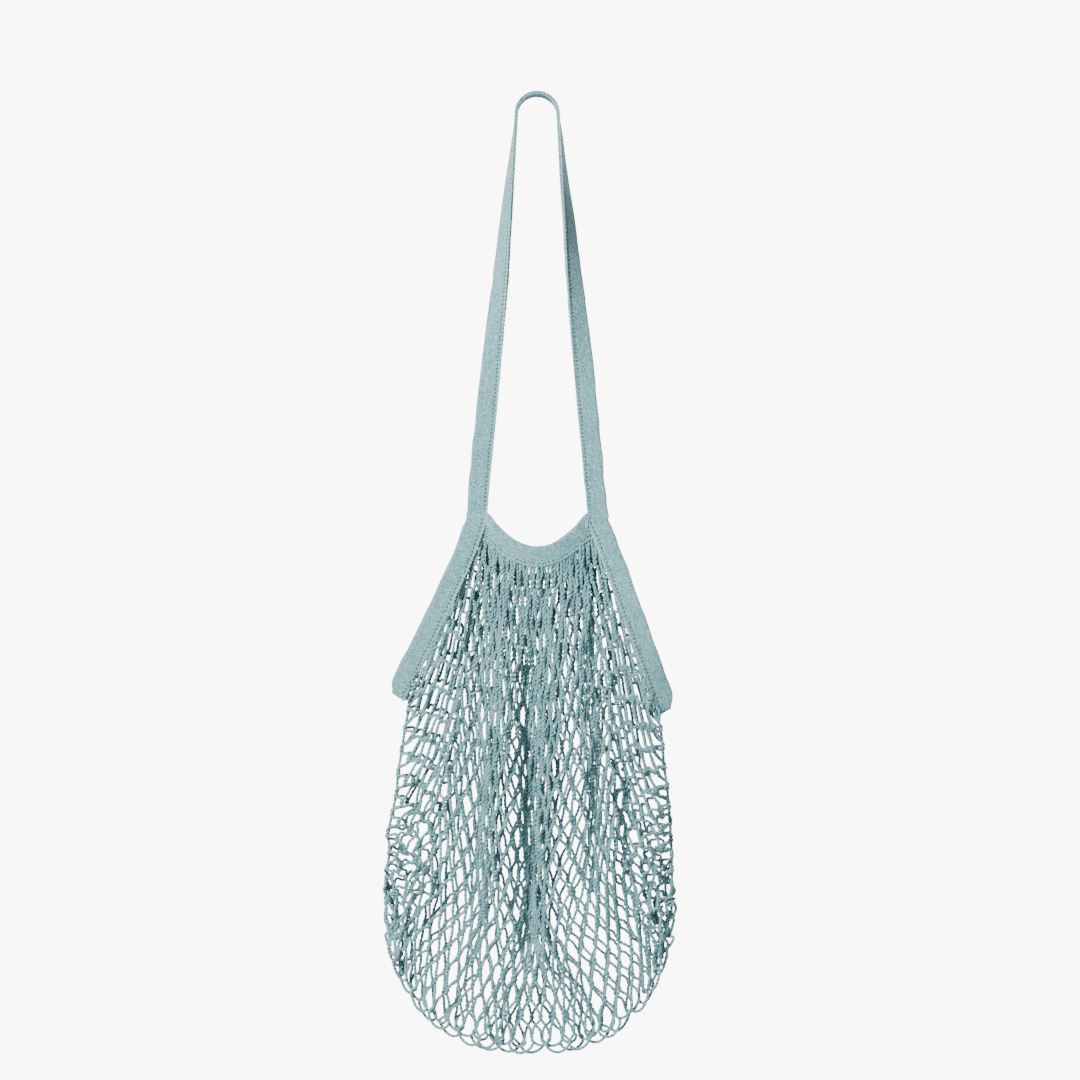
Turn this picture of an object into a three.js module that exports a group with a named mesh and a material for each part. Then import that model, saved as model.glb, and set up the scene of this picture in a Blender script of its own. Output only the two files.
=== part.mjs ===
// Mesh produce bag: a knitted cotton net that hangs from one long folded-tape handle. Millimetres.
// X runs across the bag, Y from its front to its back, and Z up. The origin is the hang point: the
// underside of the handle, where it crosses the peg or hook that the bag hangs on.
import * as THREE from 'three';
import { mergeVertices } from 'three/addons/utils/BufferGeometryUtils.js';

// ---- Driving dimensions ----
const GAP = 0.3; // air left between pieces that touch on the real bag
const TAPE_WIDTH = 15;
const TAPE_THICKNESS = 2.2; // the tape folded in two and sewn
const PLY_THICKNESS = 1.0; // one ply of it, at the top of each side tape
const YARN = 2.2; // diameter of the net's yarn
const THREAD = 0.8; // diameter of the sewing thread
const STITCH_INSET = 2.5; // from a tape's sewn edge to its line of stitches
const STITCH_LIFT = 0.6; // of the line of stitches off the tape's face, which is never quite flat
const TACK_RADIUS = 1.9; // the rolled bar of stitches across the handle's foot

const HOOK_RADIUS = 14; // of the peg that the handle's top is curved over
const HANDLE_DROP = 303; // hang point down to the fold line at the handle's feet
const HANDLE_FOOT_X = 44; // centre of each foot from the middle
const TWIST_END = 0.72; // share of a strand, from the hook, over which the tape turns to face the front

const RIM_SAG = 19; // how far the middle of the rim hangs below its ends
const RIM_SIDE_GAP = 3; // from the rim's cut end to the side tape
const RIM_END_DEPTH = 2.6; // from the middle plane to the rim at its ends
const RIM_MIDDLE_DEPTH = 8.2; // and in the middle of the mouth
const RIM_END_RISE = 1.5; // the rim's upper corners stand this far above the fold line

const ARMHOLE_DEPTH = 12; // furthest that a side tape's leg bows from the middle plane
// Each side tape turns from front to back at turnX, turnDrop below the fold line. A bow over 1 curves
// its leg, and bellyX is the net's furthest reach below it.
const LEFT = { name: 'left', sign: -1, turnX: 102, turnDrop: 128, bow: 1.15, bellyX: 109 };
const RIGHT = { name: 'right', sign: 1, turnX: 94, turnDrop: 139, bow: 1.0, bellyX: 97 };

const NET_DROP = 386; // from the fold line to the empty net's lowest edge
const NET_CORNER_HEIGHT = 120; // height of the rounded lower corners
const NET_CORNER_POWER = 2.5; // 2 is an ellipse, and more is squarer
const NET_FLAT_SHARE = 0.985; // of the corners' height, below which the bottom edge is flat
const NET_CENTRE_X = -3; // the empty net hangs a little to one side
const NET_THICKNESS = 2.2;
const BELLY_DEPTH = 25; // how far each half of the net bulges
const NET_ROWS = 26; // facets down the sheet
const TURN_ROW = 17; // counted from the bottom, the row just under the side tapes' turns
const NET_COLUMNS = 14; // and facets across it

// ---- Values that follow ----
const FOLD_Z = -HANDLE_DROP;
const FOOT_CLEARANCE = TACK_RADIUS + GAP;
const LEG_TOP_Z = FOLD_Z - FOOT_CLEARANCE;
const RIM_HALF_LENGTH = HANDLE_FOOT_X - TAPE_WIDTH / 2 - RIM_SIDE_GAP;
const RIM_END_SLOPE = 2 * RIM_SAG / RIM_HALF_LENGTH;
const RIM_END_CENTRE_Z = FOLD_Z + RIM_END_RISE - TAPE_WIDTH / 2 * Math.hypot(1, RIM_END_SLOPE);
const NET_BOTTOM = FOLD_Z - NET_DROP;
const NET_CORNER_Z = NET_BOTTOM + NET_CORNER_HEIGHT;
const NET_EDGE_DEPTH = YARN / 2 + GAP + NET_THICKNESS / 2;
const NET_EDGE_BOTTOM = NET_CORNER_Z - NET_CORNER_HEIGHT * NET_FLAT_SHARE;

const FRONT = { name: 'front', sign: -1 };
const BACK = { name: 'back', sign: 1 };

// ---- Materials ----
const cottonTape = new THREE.MeshStandardMaterial({ color: 0xa9c6c8, roughness: 0.95, metalness: 0 });
const cottonNet = new THREE.MeshStandardMaterial({ color: 0x9fc0c2, roughness: 0.95, metalness: 0 });
const sewingThread = new THREE.MeshStandardMaterial({ color: 0x6f9092, roughness: 0.9, metalness: 0 });

const bag = new THREE.Group();

function addPiece(name, geometry, material) {
  const mesh = new THREE.Mesh(geometry, material.clone());
  mesh.name = name;
  bag.add(mesh);
}

// ---- Shape helpers ----

// Bends a unit box into a strip or sheet. place(u, v, t) gives the point for u across it and v through
// it, both from -0.5 to 0.5, and t along it from 0 to 1.
function bentBox(place, along, across = 1) {
  const box = new THREE.BoxGeometry(1, 1, 1, across, 1, along);
  box.deleteAttribute('normal');
  box.deleteAttribute('uv');
  const geometry = mergeVertices(box);
  const spots = geometry.getAttribute('position');
  for (let i = 0; i < spots.count; i += 1) {
    const spot = place(spots.getX(i), spots.getY(i), spots.getZ(i) + 0.5);
    spots.setXYZ(i, spot.x, spot.y, spot.z);
  }
  geometry.computeVertexNormals();
  return geometry;
}

// The point of a tape that runs along a path: across is where the tape's sewn edge points, and
// through is square to its face.
function tapePoint(path, acrossAt, t, acrossOffset, throughOffset) {
  const along = path.getTangentAt(t);
  const across = acrossAt(t, along);
  const through = new THREE.Vector3().crossVectors(along, across);
  const spot = path.getPointAt(t);
  spot.addScaledVector(across, acrossOffset);
  return spot.addScaledVector(through, throughOffset);
}

function tape(path, acrossAt, steps, thicknessAt = () => TAPE_THICKNESS) {
  const place = (u, v, t) => tapePoint(path, acrossAt, t, u * TAPE_WIDTH, v * thicknessAt(t));
  return bentBox(place, steps);
}

// A round thread or yarn through a list of points.
function roundAlong(points, diameter, sides, steps) {
  const section = new THREE.Shape();
  for (let i = 0; i < sides; i += 1) {
    const angle = 2 * Math.PI * i / sides;
    const x = diameter / 2 * Math.cos(angle);
    const y = diameter / 2 * Math.sin(angle);
    if (i === 0) section.moveTo(x, y);
    else section.lineTo(x, y);
  }
  const path = new THREE.CatmullRomCurve3(points, false, 'centripetal');
  return new THREE.ExtrudeGeometry(section, { steps, bevelEnabled: false, extrudePath: path });
}

// ---- Handle: one strand up, over the hook and down ----

class HookArc extends THREE.Curve {
  constructor(radius, lean) {
    super();
    this.radius = radius;
    this.lean = lean;
  }

  getPoint(t, target = new THREE.Vector3()) {
    const angle = Math.PI - this.lean - t * (Math.PI - 2 * this.lean);
    const x = this.radius * Math.cos(angle);
    const z = this.radius * Math.sin(angle) - HOOK_RADIUS;
    return target.set(x, 0, z);
  }
}

function handlePath() {
  const radius = HOOK_RADIUS + TAPE_THICKNESS / 2;
  const footZ = FOLD_Z + FOOT_CLEARANCE;
  const drop = -HOOK_RADIUS - footZ;
  const lean = Math.atan2(HANDLE_FOOT_X, drop) - Math.asin(radius / Math.hypot(HANDLE_FOOT_X, drop));
  const arc = new HookArc(radius, lean);
  const path = new THREE.CurvePath();
  path.add(new THREE.LineCurve3(new THREE.Vector3(-HANDLE_FOOT_X, 0, footZ), arc.getPoint(0)));
  path.add(arc);
  path.add(new THREE.LineCurve3(arc.getPoint(1), new THREE.Vector3(HANDLE_FOOT_X, 0, footZ)));
  return path;
}

// The sewn edge faces the front on the hook, and the inside of the loop at both feet.
function handleAcross(path) {
  const length = path.getLength();
  const strand = path.curves[0].getLength();
  return (t) => {
    const fromFoot = Math.min(t, 1 - t) * length;
    const fromHook = Math.max(0, 1 - fromFoot / strand);
    const turn = Math.PI / 2 * Math.min(1, fromHook / TWIST_END);
    const inward = t < 0.5 ? 1 : -1;
    return new THREE.Vector3(inward * Math.sin(turn), -Math.cos(turn), 0);
  };
}

function addHandle() {
  const path = handlePath();
  const across = handleAcross(path);
  const steps = 72;
  addPiece('handle_tape', tape(path, across, steps), cottonTape);

  const stitches = [];
  const faceOffset = TAPE_THICKNESS / 2 + STITCH_LIFT + THREAD / 2;
  const firstStitch = 0.01;
  for (let i = 0; i <= steps; i += 1) {
    const t = firstStitch + (1 - 2 * firstStitch) * i / steps;
    stitches.push(tapePoint(path, across, t, TAPE_WIDTH / 2 - STITCH_INSET, -faceOffset));
  }
  addPiece('handle_stitching', roundAlong(stitches, THREAD, 5, steps), sewingThread);
}

// A rolled bar of stitches holds the two side tapes to the handle's foot.
function addFootTack(side) {
  const bar = new THREE.CylinderGeometry(TACK_RADIUS, TACK_RADIUS, TAPE_WIDTH, 16);
  bar.rotateZ(Math.PI / 2);
  bar.translate(side.sign * HANDLE_FOOT_X, 0, FOLD_Z);
  addPiece(`${side.name}_foot_tack`, bar, sewingThread);
}

// ---- Side tapes: each binds one armhole, down its front leg, round its foot and up its back leg ----

function turnZ(side) {
  return FOLD_Z - side.turnDrop;
}

function sideTapePath(side) {
  const legPoints = 7;
  const firstDepth = GAP / 2 + PLY_THICKNESS / 2;
  const front = [];
  for (let i = 0; i < legPoints; i += 1) {
    const t = i / legPoints;
    const x = HANDLE_FOOT_X + (side.turnX - HANDLE_FOOT_X) * t ** side.bow;
    const y = firstDepth + ARMHOLE_DEPTH * Math.sin(Math.PI * t ** 1.3);
    const z = LEG_TOP_Z + (turnZ(side) - LEG_TOP_Z) * t;
    front.push(new THREE.Vector3(side.sign * x, -y, z));
  }
  const back = front.map((spot) => new THREE.Vector3(spot.x, -spot.y, spot.z)).reverse();
  const turn = new THREE.Vector3(side.sign * side.turnX, 0, turnZ(side));
  return new THREE.CatmullRomCurve3([...front, turn, ...back], false, 'centripetal');
}

// The sewn edge points towards the net: inwards beside the legs, and down at the turn. The tape is cut
// level at its ends.
function sideTapeAcross(side) {
  const legTilt = THREE.MathUtils.degToRad(24);
  const turnTilt = THREE.MathUtils.degToRad(75);
  const levelShare = 0.08;
  return (t, along) => {
    const nearTurn = (1 - Math.abs(2 * t - 1)) ** 4;
    const tilt = THREE.MathUtils.lerp(legTilt, turnTilt, nearTurn);
    const across = new THREE.Vector3(-side.sign * Math.cos(tilt), 0, -Math.sin(tilt));
    across.addScaledVector(along, -across.dot(along)).normalize();
    const level = new THREE.Vector3(-side.sign, 0, 0);
    return level.lerp(across, Math.min(1, Math.min(t, 1 - t) / levelShare)).normalize();
  };
}

function sideTapeThickness(t) {
  const taperedShare = 0.04;
  const fromEnd = Math.min(t, 1 - t) / taperedShare;
  return THREE.MathUtils.lerp(PLY_THICKNESS, TAPE_THICKNESS, Math.min(1, fromEnd));
}

function addSideTape(side) {
  const path = sideTapePath(side);
  const across = sideTapeAcross(side);
  addPiece(`${side.name}_side_tape`, tape(path, across, 48, sideTapeThickness), cottonTape);

  const stitches = [];
  const steps = 48;
  const firstStitch = 0.03;
  const faceOffset = -side.sign * (TAPE_THICKNESS / 2 + STITCH_LIFT + THREAD / 2);
  for (let i = 0; i <= steps; i += 1) {
    const t = firstStitch + (1 - 2 * firstStitch) * i / steps;
    stitches.push(tapePoint(path, across, t, TAPE_WIDTH / 2 - STITCH_INSET, faceOffset));
  }
  addPiece(`${side.name}_side_stitching`, roundAlong(stitches, THREAD, 5, steps), sewingThread);
}

// ---- Rims: the tape that binds the front and the back of the mouth, sagging between the feet ----

function rimCentre(face, x) {
  const middle = 1 - (x / RIM_HALF_LENGTH) ** 2;
  const depth = RIM_END_DEPTH + (RIM_MIDDLE_DEPTH - RIM_END_DEPTH) * middle;
  return new THREE.Vector3(x, face.sign * depth, RIM_END_CENTRE_Z - RIM_SAG * middle);
}

// The rim's ends are cut upright, so its width is measured upright too, longer where it slopes.
function rimUprightWidth(x) {
  const slope = RIM_END_SLOPE * x / RIM_HALF_LENGTH;
  return TAPE_WIDTH * Math.hypot(1, slope);
}

function rimLowerEdge(x) {
  return rimCentre(FRONT, x).z - rimUprightWidth(x) / 2;
}

function addRim(face) {
  const place = (u, v, t) => {
    const x = RIM_HALF_LENGTH * (2 * t - 1);
    const spot = rimCentre(face, x);
    spot.z += u * rimUprightWidth(x);
    spot.y -= v * TAPE_THICKNESS;
    return spot;
  };
  addPiece(`${face.name}_rim_tape`, bentBox(place, 20), cottonTape);

  const stitches = [];
  const steps = 20;
  const reach = RIM_HALF_LENGTH - STITCH_INSET;
  for (let i = 0; i <= steps; i += 1) {
    const x = reach * (2 * i / steps - 1);
    const spot = rimCentre(face, x);
    spot.y += face.sign * (TAPE_THICKNESS / 2 + STITCH_LIFT + THREAD / 2);
    spot.z = rimLowerEdge(x) + STITCH_INSET;
    stitches.push(spot);
  }
  addPiece(`${face.name}_rim_stitching`, roundAlong(stitches, THREAD, 5, steps), sewingThread);
}

// A short bar of stitches joins each end of each rim to the side tape beside it.
function addRimTack(face, side) {
  const width = RIM_SIDE_GAP - 2 * GAP;
  const height = 6;
  const depth = 1.8;
  const bar = new THREE.BoxGeometry(width, depth, height);
  const x = side.sign * (RIM_HALF_LENGTH + RIM_SIDE_GAP / 2);
  bar.translate(x, face.sign * RIM_END_DEPTH, LEG_TOP_Z - height / 2);
  addPiece(`${face.name}_${side.name}_rim_tack`, bar, sewingThread);
}

// ---- Net: a front and a back sheet that meet along the outline ----

// One side of the outline at a height below the armholes: upright, then a rounded lower corner.
function outlineX(side, z) {
  const belly = side.bellyX - side.sign * NET_CENTRE_X;
  if (z >= NET_CORNER_Z) {
    const share = Math.min(1, (turnZ(side) - z) / (turnZ(side) - NET_CORNER_Z));
    const top = side.turnX - side.sign * NET_CENTRE_X;
    return NET_CENTRE_X + side.sign * (top + (belly - top) * Math.sin(Math.PI / 2 * share));
  }
  const drop = (NET_CORNER_Z - z) / NET_CORNER_HEIGHT;
  const corner = (1 - drop ** NET_CORNER_POWER) ** (1 / NET_CORNER_POWER);
  return NET_CENTRE_X + side.sign * belly * corner;
}

// The sewn edge of a side tape's front leg, from its top down, as points to look heights up in.
function legInnerEdge(side) {
  const path = sideTapePath(side);
  const across = sideTapeAcross(side);
  const edge = [];
  const samples = 60;
  const turnStart = 0.46;
  for (let i = 0; i <= samples; i += 1) {
    edge.push(tapePoint(path, across, turnStart * i / samples, TAPE_WIDTH / 2 + 3 * GAP, 0));
  }
  return edge;
}

// The height just under a side tape's turn, where the net's own outline starts.
function turnBottom(side) {
  return turnZ(side) - TAPE_WIDTH / 2 - YARN;
}

// Where the net's sheet ends at a height: beside the leg, and below it on the outline.
function netEdge(side, edge, z) {
  if (z < turnBottom(side)) return { x: outlineX(side, z), depth: NET_EDGE_DEPTH };
  const found = edge.findIndex((spot) => spot.z < z);
  const below = found > 0 ? found : edge.length - 1;
  const upper = edge[below - 1];
  const lower = edge[below];
  const share = Math.min(1, (upper.z - z) / (upper.z - lower.z));
  const x = upper.x + (lower.x - upper.x) * share;
  const depth = -(upper.y + (lower.y - upper.y) * share);
  return { x, depth: Math.max(NET_EDGE_DEPTH, depth) };
}

// How far the middle of each sheet bulges from the middle plane.
function netBulge(z) {
  const top = rimCentre(FRONT, 0).z;
  const share = Math.min(1, Math.max(0, (top - z) / (top - NET_BOTTOM)));
  return RIM_MIDDLE_DEPTH * (1 - share) + BELLY_DEPTH * Math.sin(Math.PI * share ** 1.1) ** 0.8;
}

// Heights of the net's rows on one side, for t from 0 at the bottom to 1 at the rim's end. One row
// always lies just under the tape's turn, so that the sheet passes clear of it.
function netRowZ(side, t) {
  const topZ = rimLowerEdge(RIM_HALF_LENGTH) - GAP;
  if (t >= TURN_ROW / NET_ROWS) {
    const share = (t * NET_ROWS - TURN_ROW) / (NET_ROWS - TURN_ROW);
    return THREE.MathUtils.lerp(turnBottom(side), topZ, share);
  }
  const crowding = 1.3;
  const share = (t * NET_ROWS / TURN_ROW) ** crowding;
  return THREE.MathUtils.lerp(NET_EDGE_BOTTOM, turnBottom(side), share);
}

function addNet(face) {
  const leftEdge = legInnerEdge(LEFT);
  const rightEdge = legInnerEdge(RIGHT);
  const rimFade = 0.3;
  const place = (u, v, t) => {
    const across = u + 0.5;
    const left = netEdge(LEFT, leftEdge, netRowZ(LEFT, t));
    const right = netEdge(RIGHT, rightEdge, netRowZ(RIGHT, t));
    const z = THREE.MathUtils.lerp(netRowZ(LEFT, t), netRowZ(RIGHT, t), across);
    const x = THREE.MathUtils.lerp(left.x, right.x, across);
    const edgeDepth = THREE.MathUtils.lerp(left.depth, right.depth, across);
    const middle = 1 - (2 * u) ** 2;
    const depth = edgeDepth + Math.max(0, netBulge(z) - edgeDepth) * middle;
    const nearRim = Math.max(0, 1 - (1 - t) / rimFade);
    const rimX = THREE.MathUtils.clamp(x, -RIM_HALF_LENGTH, RIM_HALF_LENGTH);
    const sag = (rimLowerEdge(RIM_HALF_LENGTH) + GAP - rimLowerEdge(rimX)) * nearRim;
    return new THREE.Vector3(x, face.sign * depth + v * NET_THICKNESS, z - sag);
  };
  addPiece(`net_${face.name}`, bentBox(place, NET_ROWS, NET_COLUMNS), cottonNet);
}

// The yarn that links the front sheet to the back one, loop by loop, down one side, along the bottom
// and up the other side.
function addLinkingYarns() {
  const yarnInset = YARN / 2 + GAP;
  for (const side of [LEFT, RIGHT]) {
    const points = [];
    const steps = 12;
    const topZ = turnZ(side) - TAPE_WIDTH / 2 - 2 * GAP;
    for (let i = 0; i <= steps; i += 1) {
      const z = topZ + (NET_CORNER_Z + GAP - topZ) * i / steps;
      points.push(new THREE.Vector3(outlineX(side, z) - side.sign * yarnInset, 0, z));
    }
    addPiece(`${side.name}_linking_yarn`, roundAlong(points, YARN, 8, steps), cottonNet);
  }
  const points = [];
  const cornerSteps = 9;
  for (const side of [LEFT, RIGHT]) {
    const corner = [];
    for (let i = 0; i <= cornerSteps; i += 1) {
      const share = Math.sin(Math.PI / 2 * i / cornerSteps);
      const z = THREE.MathUtils.lerp(NET_CORNER_Z, NET_EDGE_BOTTOM + yarnInset, share);
      corner.push(new THREE.Vector3(outlineX(side, z) - side.sign * yarnInset, 0, z));
    }
    points.push(...(side === LEFT ? corner : corner.reverse()));
  }
  addPiece('bottom_linking_yarn', roundAlong(points, YARN, 8, 48), cottonNet);
}

// ---- Assembly ----

addHandle();
for (const side of [LEFT, RIGHT]) {
  addFootTack(side);
  addSideTape(side);
}
for (const face of [FRONT, BACK]) {
  addRim(face);
  addNet(face);
  for (const side of [LEFT, RIGHT]) addRimTack(face, side);
}
addLinkingYarns();

export default bag;
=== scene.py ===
# %% [markdown]
# # A mesh produce bag
# The bag is a knitted cotton net, bound with folded cotton tape, on one long handle of the same tape.
# This notebook dresses a plain frame of the bag: it keeps every place and size of the frame, and
# replaces each plain solid by the real thing, such as folded tape, stitches, and yarn after yarn.

# %% Load the frame
import math

import bpy
import numpy as np
from mathutils import Matrix, Vector


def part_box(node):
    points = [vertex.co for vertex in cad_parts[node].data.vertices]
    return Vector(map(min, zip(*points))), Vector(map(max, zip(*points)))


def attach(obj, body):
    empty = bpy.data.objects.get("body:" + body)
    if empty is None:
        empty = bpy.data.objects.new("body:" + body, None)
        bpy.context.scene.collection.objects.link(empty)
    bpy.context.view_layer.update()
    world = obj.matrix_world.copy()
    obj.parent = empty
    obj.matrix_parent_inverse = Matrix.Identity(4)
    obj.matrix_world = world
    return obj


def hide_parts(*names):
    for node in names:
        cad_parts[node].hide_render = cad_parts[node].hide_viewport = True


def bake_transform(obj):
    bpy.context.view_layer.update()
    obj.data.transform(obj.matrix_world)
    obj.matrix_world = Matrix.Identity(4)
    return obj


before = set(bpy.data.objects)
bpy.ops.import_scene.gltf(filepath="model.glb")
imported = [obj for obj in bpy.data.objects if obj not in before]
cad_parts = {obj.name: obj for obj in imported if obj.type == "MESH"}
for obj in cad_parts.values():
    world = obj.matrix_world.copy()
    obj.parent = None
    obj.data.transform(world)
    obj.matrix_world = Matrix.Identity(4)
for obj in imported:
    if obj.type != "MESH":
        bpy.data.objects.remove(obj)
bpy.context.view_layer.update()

# %% [markdown]
# ## Sizes
# The frame says how big things are. The foot tack is as long as the tape is wide, the linking yarn is
# as thick as the net's yarn, and the fold line of the handle runs through the middle of the tacks.

# %% Sizes read from the frame
MM = 0.001


def box_of(node):
    low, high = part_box(node)
    return np.array(low), np.array(high)


tack_low, tack_high = box_of("right_foot_tack")
TAPE_WIDTH = tack_high[0] - tack_low[0]
FOOT_X = (tack_high[0] + tack_low[0]) / 2
FOLD_Z = (tack_high[2] + tack_low[2]) / 2
TACK_RADIUS = (tack_high[2] - tack_low[2]) / 2
TAPE_THICKNESS = box_of("handle_tape")[1][2]
PLY = 1.0 * MM
YARN = box_of("left_linking_yarn")[1][1] - box_of("left_linking_yarn")[0][1]
THREAD = 0.8 * MM
HOOK_RADIUS = 14 * MM
print("tape", TAPE_WIDTH, "x", TAPE_THICKNESS, "yarn", YARN, "fold line", FOLD_Z)

# %% [markdown]
# ## Helpers for lines and meshes
# Tapes, stitches and yarns all follow a line through space. A smooth line through a few points is the
# same idea as a curve object, but as plain points it can also say which way a tape faces, so the
# helpers below work on points and make each mesh in one go.

# %% Smooth lines
def unit(vectors):
    vectors = np.asarray(vectors, float)
    return vectors / np.maximum(np.linalg.norm(vectors, axis=-1, keepdims=True), 1e-12)


def smoothstep(low, high, value):
    share = np.clip((value - low) / (high - low), 0, 1)
    return share * share * (3 - 2 * share)


def run_lengths(points):
    steps = np.linalg.norm(np.diff(points, axis=0), axis=1)
    return np.concatenate([[0], np.cumsum(steps)])


def at_lengths(points, lengths):
    run = run_lengths(points)
    return np.stack([np.interp(lengths, run, points[:, axis]) for axis in range(3)], axis=1)


def smooth_line(points, step):
    """A smooth line through points (centripetal Catmull-Rom), as points about a step apart."""
    points = np.asarray(points, float)
    padded = np.vstack([2 * points[0] - points[1], points, 2 * points[-1] - points[-2]])
    chords = np.linalg.norm(np.diff(padded, axis=0), axis=1) ** 0.5
    t = np.concatenate([[0], np.cumsum(chords)])
    per_span = 8
    share = np.linspace(0, 1, per_span, endpoint=False)
    index = np.arange(1, len(padded) - 2)
    p0, p1, p2, p3 = (padded[index + k][:, None, :] for k in (-1, 0, 1, 2))
    t0, t1, t2, t3 = (t[index + k][:, None, None] for k in (-1, 0, 1, 2))
    u = t1 + (t2 - t1) * share[None, :, None]
    a1 = (t1 - u) / (t1 - t0) * p0 + (u - t0) / (t1 - t0) * p1
    a2 = (t2 - u) / (t2 - t1) * p1 + (u - t1) / (t2 - t1) * p2
    a3 = (t3 - u) / (t3 - t2) * p2 + (u - t2) / (t3 - t2) * p3
    b1 = (t2 - u) / (t2 - t0) * a1 + (u - t0) / (t2 - t0) * a2
    b2 = (t3 - u) / (t3 - t1) * a2 + (u - t1) / (t3 - t1) * a3
    fine = ((t2 - u) / (t2 - t1) * b1 + (u - t1) / (t2 - t1) * b2).reshape(-1, 3)
    fine = np.vstack([fine, points[-1:]])
    length = run_lengths(fine)[-1]
    return at_lengths(fine, np.linspace(0, length, max(3, int(round(length / step)) + 1)))


def steady_frames(points):
    """Along each point of a line: its direction, and two side directions that never spin."""
    along = unit(np.gradient(points, axis=0))
    side = np.empty_like(along)
    start = np.cross(along[0], (0.0, 1.0, 0.0))
    if np.linalg.norm(start) < 0.1:
        start = np.cross(along[0], (1.0, 0.0, 0.0))
    side[0] = unit(start)
    for i in range(1, len(points)):
        carried = side[i - 1] - along[i] * side[i - 1].dot(along[i])
        side[i] = carried / np.linalg.norm(carried)
    return along, side, np.cross(along, side)


# %% [markdown]
# ## Yarn and thread
# Cotton yarn is two or more strands twisted together, so its outline is never a plain circle. A tube
# with a section like a rounded bean, which turns as it runs, shows that twist in its outline. A bevelled
# curve can't turn its section like this, so the tube is made ring by ring.

# %% Twisted tubes
TWIST_PITCH = 6.5 * MM


def tube_arrays(points, diameter, sides, bean, pitch):
    """Vertices, quads and UVs of one closed tube."""
    along, side, other = steady_frames(points)
    run = run_lengths(points)
    angle = 2 * math.pi * np.arange(sides) / sides
    turn = 2 * math.pi * run / pitch
    radius = diameter / 2 * (1 - bean + bean * np.cos(2 * (angle[None, :] - turn[:, None])))
    ring = (np.cos(angle)[None, :, None] * side[:, None, :]
            + np.sin(angle)[None, :, None] * other[:, None, :])
    body = (points[:, None, :] + radius[:, :, None] * ring).reshape(-1, 3)
    rings = len(points)
    corner = np.arange(rings - 1)[:, None] * sides + np.arange(sides)[None, :]
    after = np.arange(rings - 1)[:, None] * sides + (np.arange(sides)[None, :] + 1) % sides
    quads = np.stack([corner, after, after + sides, corner + sides], axis=-1).reshape(-1, 4)
    around = np.arange(sides)[None, :] / sides + np.zeros((rings - 1, 1))
    low = (run[:-1] / pitch)[:, None] + np.zeros((1, sides))
    high = (run[1:] / pitch)[:, None] + np.zeros((1, sides))
    wide = 1 / sides
    uv = np.stack([np.stack([around, low], -1), np.stack([around + wide, low], -1),
                   np.stack([around + wide, high], -1), np.stack([around, high], -1)], axis=2)
    return body, quads, uv.reshape(-1, 4, 2), rings


def tubes_object(name, lines, diameter, sides=8, bean=0.09, pitch=TWIST_PITCH):
    """One mesh object that holds a closed tube along each line."""
    vertices, quads, uvs, caps, first = [], [], [], [], 0
    for line in lines:
        body, faces, uv, rings = tube_arrays(np.asarray(line, float), diameter, sides, bean, pitch)
        vertices.append(body)
        quads.append(faces + first)
        uvs.append(uv)
        caps.append(first + np.arange(sides)[::-1])
        caps.append(first + (rings - 1) * sides + np.arange(sides))
        first += len(body)
    vertices, quads, uvs = np.vstack(vertices), np.vstack(quads), np.vstack(uvs)
    caps = np.array(caps)
    loops = np.concatenate([quads.ravel(), caps.ravel()])
    starts = np.concatenate([np.arange(len(quads)) * 4, len(quads) * 4 + np.arange(len(caps)) * sides])
    mesh = bpy.data.meshes.new(name)
    mesh.vertices.add(len(vertices))
    mesh.vertices.foreach_set("co", vertices.astype(np.float32).ravel())
    mesh.loops.add(len(loops))
    mesh.loops.foreach_set("vertex_index", loops.astype(np.int32))
    mesh.polygons.add(len(starts))
    mesh.polygons.foreach_set("loop_start", starts.astype(np.int32))
    layer = mesh.uv_layers.new(name="yarn")
    flat = np.concatenate([uvs.reshape(-1, 2), np.zeros((caps.size, 2))])
    layer.data.foreach_set("uv", flat.astype(np.float32).ravel())
    mesh.polygons.foreach_set("use_smooth", np.ones(len(starts), bool))
    mesh.update(calc_edges=True)
    mesh.validate()
    made = bpy.data.objects.new(name, mesh)
    bpy.context.scene.collection.objects.link(made)
    triangles = len(quads) * 2 + len(caps) * (sides - 2)
    print(f"{name}: {len(lines)} tubes, {triangles} triangles")
    return made


# %% [markdown]
# ## Where the tapes run
# The handle is one strip, over the hook and down to a foot on each side. It faces sideways on the hook
# and turns to face the front by its feet. Each side tape runs from a foot down the front edge of its
# armhole, turns at the bottom and climbs the back edge to the same foot.

# %% The handle's line
GAP = 0.3 * MM
LINE_STEP = 0.8 * MM
TWIST_END = 0.72
FOOT_LAP = 0.5 * MM


def handle_line():
    """Up from the left foot, over the hook and down to the right foot."""
    radius = HOOK_RADIUS + TAPE_THICKNESS / 2
    foot_z = FOLD_Z - FOOT_LAP
    drop = -HOOK_RADIUS - foot_z
    lean = math.atan2(FOOT_X, drop) - math.asin(radius / math.hypot(FOOT_X, drop))
    angle = np.linspace(math.pi - lean, lean, 60)
    arc = np.stack([radius * np.cos(angle), 0 * angle, radius * np.sin(angle) - HOOK_RADIUS], axis=1)
    share = np.linspace(0, 1, 40, endpoint=False)[:, None]
    left = np.array([-FOOT_X, 0, foot_z]) * (1 - share) + arc[0] * share
    right = np.array([FOOT_X, 0, foot_z]) * (1 - share) + arc[-1] * share
    points = np.vstack([left, arc, right[::-1]])
    length = run_lengths(points)[-1]
    points = at_lengths(points, np.linspace(0, length, int(length / LINE_STEP)))
    run = run_lengths(points)
    strand = np.linalg.norm(left[0] - arc[0])
    from_hook = np.clip(1 - np.minimum(run, length - run) / strand, 0, None)
    turn = math.pi / 2 * np.minimum(1, from_hook / TWIST_END)
    inward = np.where(run < length / 2, 1.0, -1.0)
    across = np.stack([inward * np.sin(turn), -np.cos(turn), 0 * turn], axis=1)
    return points, across


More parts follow.
